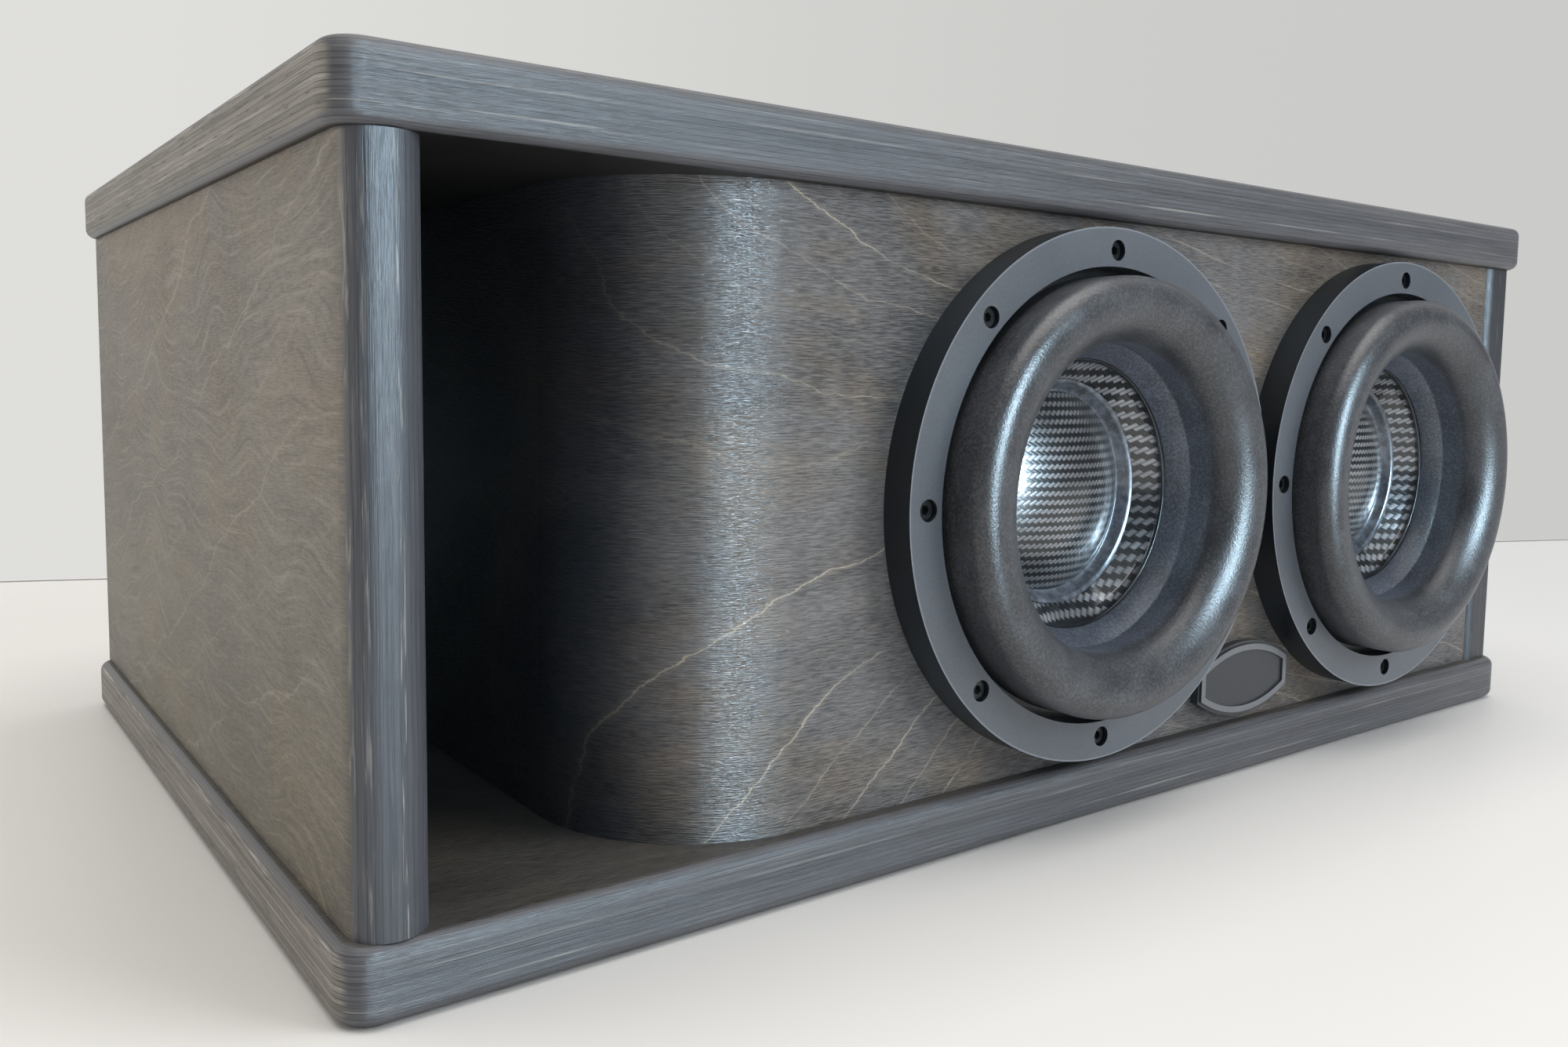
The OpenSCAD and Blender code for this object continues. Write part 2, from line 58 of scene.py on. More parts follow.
# ------------------------------------------------------------ node helpers
class Nodes:
    """A node tree with short calls for the nodes used here."""

    def __init__(self, tree):
        self.tree = tree

    def put(self, socket, value):
        if isinstance(value, bpy.types.NodeSocket):
            self.tree.links.new(value, socket)
        elif value is not None:
            socket.default_value = value

    def math(self, kind, a, b=None, clamp=False):
        n = self.tree.nodes.new("ShaderNodeMath")
        n.operation, n.use_clamp = kind, clamp
        for socket, value in zip(n.inputs, (a, b)):
            self.put(socket, value)
        return n.outputs[0]

    def add(self, a, b, clamp=False):
        return self.math("ADD", a, b, clamp)

    def sub(self, a, b, clamp=False):
        return self.math("SUBTRACT", a, b, clamp)

    def mul(self, a, b):
        return self.math("MULTIPLY", a, b)

    def vmath(self, kind, a, b=None):
        n = self.tree.nodes.new("ShaderNodeVectorMath")
        n.operation = kind
        self.put(n.inputs[0], a)
        if b is not None:
            self.put(n.inputs[1], b)
        return n.outputs["Value" if kind in ("LENGTH", "DOT_PRODUCT") else "Vector"]

    def split(self, vector):
        n = self.tree.nodes.new("ShaderNodeSeparateXYZ")
        self.put(n.inputs[0], vector)
        return n.outputs[0], n.outputs[1], n.outputs[2]

    def join(self, x=0.0, y=0.0, z=0.0):
        n = self.tree.nodes.new("ShaderNodeCombineXYZ")
        for socket, value in zip(n.inputs, (x, y, z)):
            self.put(socket, value)
        return n.outputs[0]

    def noise(self, vector, scale=1.0, detail=2.0, rough=0.5, distortion=0.0):
        n = self.tree.nodes.new("ShaderNodeTexNoise")
        self.put(n.inputs["Vector"], vector)
        n.inputs["Scale"].default_value = scale
        n.inputs["Detail"].default_value = detail
        n.inputs["Roughness"].default_value = rough
        n.inputs["Distortion"].default_value = distortion
        return n.outputs["Fac"]

    def streaks(self, u, per_u, v, per_v, seed, detail, rough=0.5, distortion=0.0):
        """Noise with its own number of cells per metre along u and along v."""
        place = self.join(self.mul(u, per_u), self.mul(v, per_v), seed)
        return self.noise(place, 1.0, detail, rough, distortion)

    def cells(self, vector, scale):
        """Distance to the nearest cell centre."""
        n = self.tree.nodes.new("ShaderNodeTexVoronoi")
        self.put(n.inputs["Vector"], vector)
        n.inputs["Scale"].default_value = scale
        return n.outputs["Distance"]

    def white(self, value):
        """A random number for each whole value."""
        n = self.tree.nodes.new("ShaderNodeTexWhiteNoise")
        n.noise_dimensions = "1D"
        self.put(n.inputs["W"], value)
        return n.outputs["Value"]

    def ramp(self, value, low, high, to_low=0.0, to_high=1.0, smooth=True):
        """Maps low..high to to_low..to_high, held at both ends."""
        n = self.tree.nodes.new("ShaderNodeMapRange")
        n.interpolation_type = "SMOOTHSTEP" if smooth else "LINEAR"
        for key, v in (
            ("Value", value),
            ("From Min", low),
            ("From Max", high),
            ("To Min", to_low),
            ("To Max", to_high),
        ):
            self.put(n.inputs[key], v)
        return n.outputs["Result"]

    def mix(self, fac, a, b, kind="MIX"):
        n = self.tree.nodes.new("ShaderNodeMix")
        n.data_type, n.blend_type = "RGBA", kind
        self.put(n.inputs[0], fac)
        for socket, value in ((n.inputs[6], a), (n.inputs[7], b)):
            self.put(socket, (*value, 1.0) if isinstance(value, tuple) else value)
        return n.outputs[2]

    def mixf(self, fac, a, b):
        n = self.tree.nodes.new("ShaderNodeMix")
        n.data_type = "FLOAT"
        for socket, value in ((n.inputs[0], fac), (n.inputs[2], a), (n.inputs[3], b)):
            self.put(socket, value)
        return n.outputs[0]

    def bump(self, height, distance, strength):
        n = self.tree.nodes.new("ShaderNodeBump")
        n.inputs["Distance"].default_value = distance
        n.inputs["Strength"].default_value = strength
        self.put(n.inputs["Height"], height)
        return n.outputs[0]


class Graph(Nodes):
    """A new material with a Principled shader. Object coordinates are metres in the frame."""

    def __init__(self, name):
        self.material = bpy.data.materials.new(name)
        self.material.use_nodes = True
        super().__init__(self.material.node_tree)
        self.tree.nodes.clear()
        self.shader = self.tree.nodes.new("ShaderNodeBsdfPrincipled")
        out = self.tree.nodes.new("ShaderNodeOutputMaterial")
        self.tree.links.new(self.shader.outputs[0], out.inputs[0])
        self.coords = self.tree.nodes.new("ShaderNodeTexCoord")
        self.object = self.coords.outputs["Object"]

    def set(self, **values):
        """Sets shader sockets by name, with _ for a space."""
        for key, value in values.items():
            socket = self.shader.inputs[key.replace("_", " ")]
            if socket.type == "RGBA" and isinstance(value, tuple) and len(value) == 3:
                value = (*value, 1.0)
            self.put(socket, value)

    def normal_axis(self, axis):
        """How squarely the surface faces along one object axis, 0 to 1."""
        return self.math("ABSOLUTE", self.split(self.coords.outputs["Normal"])[axis])

    def off_axis(self, x, z, centre):
        """Distance from a driver's axis."""
        return self.vmath(
            "LENGTH", self.join(self.sub(x, centre.x), self.sub(z, centre.z), 0.0)
        )


# ------------------------------------------------------------ camera
# Angles in radians, yaw from +Y towards +X, pitch downwards; lens in millimetres.
YAW, PITCH, ROLL = 0.6451, 0.0876, 0.0149
SENSOR, LENS = 36, 29.04
SHIFT = (-0.0141, -0.02725)
CAMERA_AT = (-0.336395, -0.420627, 0.143479)

right = Vector((math.cos(YAW), -math.sin(YAW), 0))
ahead = Vector(
    (
        math.sin(YAW) * math.cos(PITCH),
        math.cos(YAW) * math.cos(PITCH),
        -math.sin(PITCH),
    )
)
up = right.cross(ahead)
cam_x = math.cos(ROLL) * right + math.sin(ROLL) * up
cam_y = -math.sin(ROLL) * right + math.cos(ROLL) * up
camera_data = bpy.data.cameras.new("camera")
camera_data.sensor_width, camera_data.lens = SENSOR, LENS
camera_data.shift_x, camera_data.shift_y = SHIFT
camera_data.clip_start, camera_data.clip_end = 0.01, 50
camera = bpy.data.objects.new("camera", camera_data)
bpy.context.scene.collection.objects.link(camera)
place = Matrix((cam_x, cam_y, -ahead)).transposed().to_4x4()
place.translation = CAMERA_AT
camera.matrix_world = place
bpy.context.scene.camera = camera


# ------------------------------------------------------------ wood
WARM_DARK, WARM_LIGHT = (0.055, 0.05, 0.042), (0.19, 0.172, 0.147)
LINE = (0.46, 0.41, 0.33)
BOARD, PLY_COUNT = 0.018, 13


def figure(g, level, u, v, seed, width, keep):
    """Thin pale growth lines, the contours of level, roughened and fading along their way."""
    rough = g.streaks(u, 170.0, v, 330.0, seed, 3.0, 0.65)
    wander = g.streaks(u, 11.0, v, 13.0, seed + 4.2, 3.0, 0.5)
    level = g.add(level, g.mul(g.sub(rough, 0.5), 0.16))
    level = g.add(level, g.mul(g.sub(wander, 0.5), 1.9))
    index = g.math("FLOOR", level)
    off = g.math("ABSOLUTE", g.sub(g.math("FRACT", level), 0.5))
    line = g.ramp(off, width * 0.25, width, 1.0, 0.0)
    glow = g.mul(g.ramp(off, 0.0, width * 6, 1.0, 0.0), 0.16)
    strength = g.ramp(g.white(g.add(index, seed)), keep, 0.85)
    fade = g.ramp(g.streaks(u, 26.0, v, 34.0, seed + 7.7, 3.0, 0.6), 0.32, 0.52)
    return g.mul(g.mul(g.add(line, glow), strength), fade)


def veneer(g, u, v, seed, dark, light, level, fibre, lines, width=0.013, keep=0.3, warm=0.35):
    """Stained face veneer, u along the grain and v across it, in metres: colour and height."""
    dash = g.streaks(u, 190.0, v, 2500.0, seed, 2.0, 0.65)
    fine = g.streaks(u, 420.0, v, 3600.0, seed + 0.7, 2.0, 0.6)
    streak = g.streaks(u, 17.0, v, 300.0, seed + 1.3, 3.0, 0.6)
    cloud = g.streaks(u, 13.0, v, 22.0, seed + 2.9, 5.0, 0.6, 0.8)
    tint = g.streaks(u, 16.0, v, 19.0, seed + 8.3, 3.0, 0.6, 0.5)
    height = g.add(g.mul(g.ramp(dash, 0.3, 0.7), 0.65), g.mul(fine, 0.35))
    tone = g.mul(g.sub(height, 0.5), 0.62 * fibre)
    tone = g.add(tone, g.mul(g.sub(streak, 0.5), 0.55))
    tone = g.add(tone, g.ramp(cloud, 0.3, 0.7, 0.3, 0.72), clamp=True)
    colour = g.mix(tone, dark, light)
    brown = g.mix(1.0, colour, (1.2, 0.97, 0.7), "MULTIPLY")
    colour = g.mix(g.ramp(tint, 0.42, 0.64, 0.1, warm), colour, brown)
    mark = figure(g, level, u, v, seed, width, keep)
    return g.mix(g.mul(mark, lines), colour, LINE), height


def slope(g, u, v, du, dv, start=0.0):
    """A field whose contours cross the board at one angle: du and dv lines per metre."""
    return g.add(g.add(g.mul(u, du), g.mul(v, dv)), start)


def plies(g, t, along, seed, dark, light, pale, run):
    """The veneers on a panel's edge, t deep into it and along down it: colour and height.

    pale is how strongly some plies are rubbed pale, run how often along the edge.
    """
    bend = g.noise(g.join(g.mul(along, 25.0), seed, 0.0), 1.0, 2.0)
    level = g.add(g.mul(t, PLY_COUNT / BOARD), g.mul(g.sub(bend, 0.5), 0.5))
    index = g.math("FLOOR", level)
    tint = g.white(g.add(index, seed))
    fine = g.streaks(along, 40.0, t, 5200.0, seed, 3.0, 0.65)
    wide = g.streaks(along, 16.0, t, 260.0, seed + 3.3, 3.0, 0.6)
    off = g.math("ABSOLUTE", g.sub(g.math("FRACT", level), 0.5))
    glue = g.ramp(off, 0.36, 0.5)
    tone = g.add(g.mul(tint, 0.3), g.mul(g.ramp(fine, 0.3, 0.7), 0.5))
    tone = g.add(tone, g.mul(g.ramp(wide, 0.3, 0.7), 0.2))
    tone = g.sub(tone, g.mul(glue, 0.45), clamp=True)
    colour = g.mix(tone, dark, light)
    rub = g.noise(g.join(g.mul(along, run), g.mul(t, 1500.0), seed + 6.1), 1.0, 3.0, 0.6)
    chosen = g.ramp(g.white(g.add(index, seed + 17.0)), 0.45, 0.8)
    worn = g.mul(g.mul(g.ramp(rub, 0.52, 0.66), chosen), pale)
    return g.mix(worn, colour, (0.5, 0.48, 0.44)), fine


def plate(name, face_lo, under, over):
    """Top or bottom plate: face veneer above and below, its plies round the edges.

    under and over darken its lower and upper face with painted shade, for the gloom of the slot.
    """
    g = Graph(name)
    x, y, z = g.split(g.object)
    level = slope(g, x, y, 9.0, 30.0, 3.3)
    face, grain = veneer(
        g, x, y, 3.0, (0.042, 0.041, 0.039), (0.158, 0.152, 0.143), level, 1.7, 0.34
    )
    # Painted shade: the lower face dimmed by under and the upper face by over.
    upward = g.math("GREATER_THAN", g.split(g.coords.outputs["Normal"])[2], 0.0)
    shade = g.mix(upward, (under, under, under * 1.1), (over, over, over))
    face = g.mix(1.0, face, shade, "MULTIPLY")
    depth = g.sub(z, face_lo)
    # Painted light and shade: the long edges get darker, bluer plies and the ends lighter, warmer
    # ones, as shaded and lit copies of the same plies.
    long_edge, long_height = plies(
        g, depth, x, 5.0, (0.036, 0.037, 0.042), (0.15, 0.152, 0.166), pale=0.4, run=16.0
    )
    end_edge, end_height = plies(
        g, depth, y, 9.0, (0.045, 0.041, 0.037), (0.32, 0.3, 0.27), pale=0.9, run=30.0
    )
    voids = g.ramp(g.streaks(y, 75.0, z, 1300.0, 4.0, 3.0, 0.6), 0.6, 0.68)
    end_edge = g.mix(g.mul(voids, 0.85), end_edge, (0.012, 0.012, 0.013))
    sideways = g.ramp(g.normal_axis(0), 0.75, 0.93)
    flat = g.ramp(g.normal_axis(2), 0.93, 0.995)
    edge = g.mix(sideways, long_edge, end_edge)
    end_height = g.sub(end_height, g.mul(voids, 0.8))
    g.set(
        Base_Color=g.mix(flat, edge, face),
        Roughness=g.mixf(flat, g.mixf(sideways, 0.36, 0.5), 0.42),
        Normal=g.bump(
            g.mixf(flat, g.mixf(sideways, long_height, end_height), grain), 0.00028, 0.6
        ),
    )
    return g.material


def upright(name, thick_lo, tone):
    """Side panel: grain along Y on its faces, its plies as stripes up the rounded front edge."""
    g = Graph(name)
    x, y, z = g.split(g.object)
    level = slope(g, y, z, 16.0, 38.0, 1.7)
    face, grain = veneer(g, y, z, 11.0, WARM_DARK, WARM_LIGHT, level, 1.7, 0.3, 0.02, 0.1, 0.6)
    cross = g.streaks(y, 900.0, z, 260.0, 2.2, 3.0, 0.65)
    warp = g.mul(g.sub(g.streaks(y, 9.0, z, 9.0, 6.6, 2.0), 0.5), 0.09)
    band = g.noise(g.join(g.mul(y, 26.0), g.mul(g.add(z, warp), 520.0), 9.9), 1.0, 3.0, 0.7)
    # Painted shade: darker and greener towards the foot, and darker next to the rounded front
    # edge.
    low = g.ramp(z, 0.03, 0.17, 0.25, 1.0)
    face = g.mix(g.mul(g.ramp(cross, 0.45, 0.75), 0.3), face, (0.27, 0.25, 0.215))
    face = g.mix(g.ramp(band, 0.52, 0.68, 0.0, 0.42), face, (0.3, 0.275, 0.235))
    face = g.mix(g.ramp(band, 0.46, 0.3, 0.0, 0.5), face, (0.04, 0.037, 0.033))
    face = g.mix(low, g.mix(1.0, face, (0.72, 0.75, 0.66), "MULTIPLY"), face)
    rim = g.ramp(y, -0.157, -0.135, 0.62, 1.0)
    face = g.mix(rim, (0.035, 0.037, 0.038), face)
    # Painted shade: the front edge's plies darker and bluer than the plates' ends, and tone dims
    # them further.
    edge, edge_height = plies(
        g, g.sub(x, thick_lo), z, 13.0, (0.036, 0.04, 0.049), (0.108, 0.115, 0.134), 0.55, 55.0
    )
    edge = g.mix(1.0, edge, (tone, tone, tone), "MULTIPLY")
    flat = g.ramp(g.normal_axis(0), 0.9, 0.985)
    g.set(
        Base_Color=g.mix(flat, edge, face),
        Roughness=g.mixf(flat, 0.38, 0.46),
        Normal=g.bump(g.mixf(flat, edge_height, grain), 0.00022, 0.5),
    )
    return g.material


def simple_wood(name, u_axis, v_axis, seed):
    """Face veneer all over, for the panels behind and inside."""
    g = Graph(name)
    xyz = g.split(g.object)
    level = slope(g, xyz[u_axis], xyz[v_axis], 8.0, 34.0, seed)
    face, grain = veneer(
        g,
        xyz[u_axis],
        xyz[v_axis],
        seed,
        (0.042, 0.041, 0.038),
        (0.152, 0.145, 0.134),
        level,
        1.7,
        0.34,
    )
    g.set(Base_Color=face, Roughness=0.42, Normal=g.bump(grain, 0.0002, 0.5))
    return g.material


def baffle(name, bend_x, bend_y, radius, middle):
    """Curved front board: grain runs round the bend, so u is the distance along the board."""
    g = Graph(name)
    x, y, z = g.split(g.object)
    dx = g.sub(bend_x, x)
    dy = g.sub(bend_y, y)
    angle = g.math("MINIMUM", g.math("MAXIMUM", g.math("ARCTAN2", dx, dy), 0.0), math.pi / 2)
    u = g.sub(g.math("MAXIMUM", g.mul(dx, -1.0), 0.0), g.mul(angle, radius))
    u = g.sub(u, g.math("MAXIMUM", g.mul(dy, -1.0), 0.0))
    spread = g.add(g.math("MINIMUM", u, 0.12), 0.105)
    level = g.mul(g.sub(z, middle), g.mul(spread, 500.0))
    far = g.mul(g.math("MAXIMUM", g.sub(u, 0.12), 0.0), 26.0)
    level = g.add(level, g.add(far, 0.35))
    face, grain = veneer(
        g,
        u,
        z,
        21.0,
        (0.047, 0.048, 0.052),
        (0.225, 0.224, 0.23),
        level,
        1.8,
        0.85,
        0.019,
        0.0,
        0.8,
    )
    # Painted shade: the veneer that has turned into the slot is darkened to nearly black.
    deep = g.ramp(angle, 0.35, 1.2, 1.0, 0.22)
    face = g.mix(deep, (0.005, 0.014, 0.03), face)
    g.set(Base_Color=face, Roughness=0.31, Normal=g.bump(grain, 0.0004, 0.6))
    return g.material


# ------------------------------------------------------------ other finishes
def satin(name, colour, rough, speck=0.15, scale=900.0, metal=0.0, bump=0.00003, coat=0.0):
    """A painted, anodised or moulded surface with a fine speckle."""
    g = Graph(name)
    fine = g.noise(g.object, scale, 3.0, 0.6)
    soft = g.noise(g.object, 35.0, 3.0, 0.5)
    dark = tuple(c * (1 - speck) for c in colour)
    light = tuple(min(1.0, c * (1 + speck)) for c in colour)
    tone = g.add(g.mul(fine, 0.6), g.mul(soft, 0.4))
    g.set(
        Base_Color=g.mix(g.ramp(tone, 0.3, 0.7), dark, light),
        Roughness=g.ramp(soft, 0.3, 0.7, rough - 0.04, rough + 0.05),
        Metallic=metal,
        Coat_Weight=coat,
        Normal=g.bump(fine, bump, 0.6),
    )
    return g.material


def anodised(name, centre, outer):
    """Satin grey face and near-black turned side, lit and shaded copies of one finish, with a
    thin painted highlight on the corner between them.
    """
    g = Graph(name)
    x, y, z = g.split(g.object)
    radius = g.off_axis(x, z, centre)
    fine = g.noise(g.object, 1300.0, 3.0, 0.6)
    soft = g.noise(g.object, 30.0, 3.0, 0.5)
    face = g.mix(
        g.ramp(g.add(g.mul(fine, 0.5), g.mul(soft, 0.5)), 0.3, 0.7),
        (0.096, 0.109, 0.128),
        (0.124, 0.139, 0.162),
    )
    # Painted light and shade: grey where the surface faces along Y, near-black elsewhere, and a
    # painted highlight on the face's outer corner.
    front = g.ramp(g.normal_axis(1), 0.6, 0.9)
    corner = g.mul(g.ramp(radius, outer - 0.0007, outer - 0.0002), front)
    colour = g.mix(front, (0.008, 0.01, 0.014), face)
    colour = g.mix(g.mul(corner, 0.6), colour, (0.3, 0.33, 0.37))
    turned = g.streaks(y, 9000.0, radius, 5000.0, 0.0, 2.0)
    g.set(
        Base_Color=colour,
        Roughness=0.36,
        Normal=g.bump(g.add(g.mul(turned, 0.4), fine), 0.00003, 0.6),
    )
    return g.material


def foam(name, centre):
    """Leathery skin of a moulded foam surround, with a painted sheen that makes its lip paler and
    bluer, and painted shade that blacks it in the ring's gap.
    """
    g = Graph(name)
    x, _, z = g.split(g.object)
    radius = g.off_axis(x, z, centre)
    cell = g.cells(g.object, 1150.0)
    fine = g.noise(g.object, 2100.0, 3.0, 0.6)
    soft = g.noise(g.object, 75.0, 4.0, 0.55)
    grain = g.noise(g.object, 950.0, 3.0, 0.7)
    tone = g.add(g.mul(cell, 0.5), g.mul(fine, 0.45))
    tone = g.add(tone, g.mul(g.sub(soft, 0.5), 0.5))
    colour = g.mix(g.ramp(tone, 0.2, 0.85), (0.03, 0.0315, 0.036), (0.092, 0.097, 0.108))
    height = g.add(g.add(g.mul(cell, -0.6), fine), g.mul(grain, 1.2))
    colour = g.mix(g.ramp(grain, 0.6, 0.75, 0.0, 0.5), colour, (0.15, 0.155, 0.165))
    # Painted sheen: the lip paler and bluer.
    lip = g.ramp(radius, (LIP_R + 0.3) * MM, (LIP_R - 0.1) * MM)
    colour = g.mix(lip, colour, g.mix(1.0, colour, (1.7, 1.85, 2.1), "MULTIPLY"))
    # Painted shade: near-black past the roll, in the ring's gap.
    g.set(
        Base_Color=g.mix(
            g.ramp(radius, (ROLL_OUT - 0.1) * MM, (ROLL_OUT + 0.4) * MM),
            colour,
            (0.003, 0.003, 0.0035),
        ),
        Roughness=g.ramp(soft, 0.3, 0.7, 0.3, 0.38),
        Specular_IOR_Level=0.6,
        Normal=g.bump(height, 0.00012, 0.5),
    )
    return g.material


def twill(name, centre_x, centre_z, width, gloss, coat, light, squeeze, plain):
    """Carbon 2x2 twill under clear lacquer, its tows width wide.

    The pattern is drawn out along X by 1 / squeeze. plain is a ring (from, to, tint) of bare
    lacquer or glue.
    """
    g = Graph(name)
    x, _, z = g.split(g.object)
    x = g.sub(x, centre_x)
    z = g.sub(z, centre_z)
    sway = g.mul(g.sub(g.noise(g.object, 45.0, 2.0), 0.5), 0.0007)
    k = math.sqrt(0.5) / width
    run = g.mul(x, squeeze)
    u = g.mul(g.add(g.add(run, z), sway), k)
    v = g.mul(g.sub(run, z), k)
    i, j = g.math("FLOOR", u), g.math("FLOOR", v)
    over = g.math("LESS_THAN", g.math("FLOORED_MODULO", g.sub(i, j), 4.0), 2.0)
    cu = g.sub(g.math("FRACT", u), 0.5)
    cv = g.sub(g.math("FRACT", v), 0.5)
    across = g.mixf(over, cu, cv)
    crown = g.sub(1.0, g.mul(g.mul(across, across), 3.2))
    strand_a = g.streaks(u, 0.6, v, 14.0, 1.0, 2.0)
    strand_b = g.streaks(u, 14.0, v, 0.6, 5.0, 2.0)
    strand = g.mixf(over, strand_b, strand_a)
    patch = g.ramp(g.noise(g.object, 55.0, 2.0), 0.35, 0.65, 0.55, 1.0)
    # The twill pattern is the cone's own; its pale and near-black tows, each lighter along its
    # crown, are painted sheen.
    tone = g.mul(g.mul(crown, g.ramp(strand, 0.2, 0.8, 0.6, 1.1)), g.mixf(over, 0.04, 0.95))
    colour = g.mix(g.mul(tone, patch), (0.005, 0.0055, 0.007), light)
    radius = g.vmath("LENGTH", g.join(x, z, 0.0))
    lo, hi, tint = plain
    inside = g.mul(
        g.ramp(radius, lo - 0.0002, lo + 0.0002), g.ramp(radius, hi + 0.0002, hi - 0.0002)
    )
    cloudy = g.mix(
        g.ramp(g.noise(g.object, 260.0, 4.0, 0.65), 0.35, 0.7),
        tuple(c * 0.35 for c in tint),
        tint,
    )
    colour = g.mix(inside, colour, cloudy)
    height = g.mixf(inside, crown, 0.5)
    g.set(
        Base_Color=colour,
        Roughness=0.32,
        Metallic=0.25,
        Coat_Weight=coat,
        Coat_Roughness=gloss,
        Normal=g.bump(height, 0.0001, 0.6),
    )
    return g.material


def weave(name, centre, dark, light, pitch=0.0011):
    """Open woven cloth stiffened with resin, threads square to each other."""
    g = Graph(name)
    x, _, z = g.split(g.object)
    a = g.math("SINE", g.mul(g.sub(x, centre.x), 2 * math.pi / pitch))
    b = g.math("SINE", g.mul(g.sub(z, centre.z), 2 * math.pi / pitch))
    thread = g.math("MAXIMUM", g.math("ABSOLUTE", a), g.math("ABSOLUTE", b))
    soft = g.noise(g.object, 120.0, 3.0, 0.6)
    colour = g.mix(g.ramp(thread, 0.5, 1.0), dark, light)
    colour = g.mix(g.ramp(soft, 0.35, 0.7, 0.0, 0.4), colour, dark)
    g.set(Base_Color=colour, Roughness=0.85, Normal=g.bump(thread, 0.0002, 0.7))
    return g.material


def braid(name):
    """Fine tinned strands plaited round a lead."""
    g = Graph(name)
    x, y, z = g.split(g.object)
    s1 = g.math("SINE", g.mul(g.add(g.add(x, z), y), 7200.0))
    s2 = g.math("SINE", g.mul(g.sub(g.add(x, z), y), 7200.0))
    strand = g.ramp(g.math("MAXIMUM", s1, s2), -0.4, 1.0)
    g.set(
        Base_Color=g.mix(strand, (0.16, 0.13, 0.09), (0.72, 0.62, 0.46)),
        Roughness=0.38,
        Metallic=0.85,
        Normal=g.bump(strand, 0.0001, 0.7),
    )
    return g.material


def paint(material, *names):
    """Gives CAD nodes this material alone."""
    for name in names:
        data = nodes[name].data
        data.materials.clear()
        data.materials.append(material)


def lowest(node):
    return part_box(node)[0]


baffle_lo = lowest("curved_baffle")
BEND = 0.050        # outside radius of the baffle's bend
FIGURE_Z = 0.118    # height from which the baffle's growth lines fan out

# Painted shade: the top plate's lower face dimmed to 0.16, the bottom plate's upper face to 0.6.
paint(plate("plate_top", lowest("top_panel").z, 0.16, 1.0), "top_panel")
paint(plate("plate_bottom", lowest("bottom_panel").z, 1.0, 0.6), "bottom_panel")
# The last number dims a panel's front edge with painted shade: 0.5 on the right panel.
paint(upright("side_left", lowest("left_side_panel").x, 1.0), "left_side_panel")
paint(upright("side_right", lowest("right_side_panel").x, 0.5), "right_side_panel")
paint(simple_wood("panel_back", 0, 2, 31.0), "back_panel")
paint(simple_wood("panel_port", 1, 2, 37.0), "port_divider")
paint(simple_wood("panel_return", 0, 2, 41.0), "port_return_panel")
paint(
    baffle("panel_front", baffle_lo.x + BEND, baffle_lo.y + BEND, BEND, FIGURE_Z),
    "curved_baffle",
)

black_steel = satin("black_oxide", (0.012, 0.012, 0.013), 0.3, 0.2)
cast = satin("casting", (0.02, 0.02, 0.022), 0.5, 0.3, 700.0, bump=0.0001)
steel = satin("zinc", (0.42, 0.42, 0.45), 0.3, 0.1, 400.0, metal=1.0)
ferrite = satin("ferrite", (0.03, 0.03, 0.032), 0.55, 0.3, 500.0, bump=0.0001)
black_plastic = satin("plastic_black", (0.018, 0.018, 0.02), 0.42, 0.2, 1100.0, bump=0.00005)
red_plastic = satin("plastic_red", (0.42, 0.01, 0.014), 0.25, 0.1, 900.0, coat=0.4)
gasket = satin("gasket", (0.02, 0.02, 0.021), 0.8, 0.4, 1400.0, bump=0.0001)
gold = satin("gilt_brass", (0.83, 0.58, 0.24), 0.22, 0.06, 500.0, metal=1.0)
board = satin("phenolic", (0.2, 0.1, 0.035), 0.5, 0.25, 600.0)
copper = satin("copper_wire", (0.7, 0.3, 0.14), 0.3, 0.1, 800.0, metal=1.0)
tinned = satin("tinned", (0.7, 0.67, 0.6), 0.32, 0.12, 900.0, metal=1.0)
former = satin("former", (0.62, 0.44, 0.16), 0.35, 0.1, 500.0, metal=0.6)
plait = braid("plaited_lead")

# ------------------------------------------------------------ soft pieces of a driver
# Radii and heights in front of the baffle, in millimetres as in part.scad.
FACE_Y = baffle_lo.y
LIP_R, LIP_IN, LIP_H, SLOPE, FOAM = 48.5, 43.5, 5.5, 1.195, 1.6
ROLL_OUT, ROLL_CREST, ROLL_H, FLANGE = 68.5, 61.5, 25.0, 80.25
SEAT_LO, SEAT_HI = 3.5, 4.5             # the surround's flange under the trim ring
NECK, CONE_THICK, GLUE_GAP = 25.4, 1.5, 0.1
BEAD_R, BEAD_W, BEAD_H = 42.6, 0.45, 1.15   # bead of glue inside the foam lip
CAP_R, CAP_RISE, CAP_FLANGE, CAP_THICK = 32.6, 11.6, 36.7, 1.0
WEB_IN, WEB_OUT, WEB_H, WEB_THICK = 25.5, 54.5, -32.9, 0.7
WEB_WAVE, WEB_RIDGES = 1.6, 5
WEB_RIM, WEB_FOOT = 57.5, -34.0
LEAD_R, LEAD_CLEAR = 0.8, 1.6
# Shares from 0 to 1 by radius: none at the first radius and beyond, all of it this much further
# in. weigh works them out for each vertex and keeps none of them.
ROLL_STILL, ROLL_SPAN = 66.5, 16.0
WEB_STILL, WEB_SPAN = 53.5, 26.5


def lip_face(r):
    """Height of the foam lip's front, and of the cone's line, at radius r."""
    return LIP_H - (LIP_R - r) * SLOPE


def arc(cx, cy, r, a0, a1, steps):
    """Points along an arc, from angle a0 to a1 in degrees."""
    return [
        (cx + r * math.cos(a), cy + r * math.sin(a))
        for a in (math.radians(a0 + (a1 - a0) * i / steps) for i in range(steps + 1))
    ]


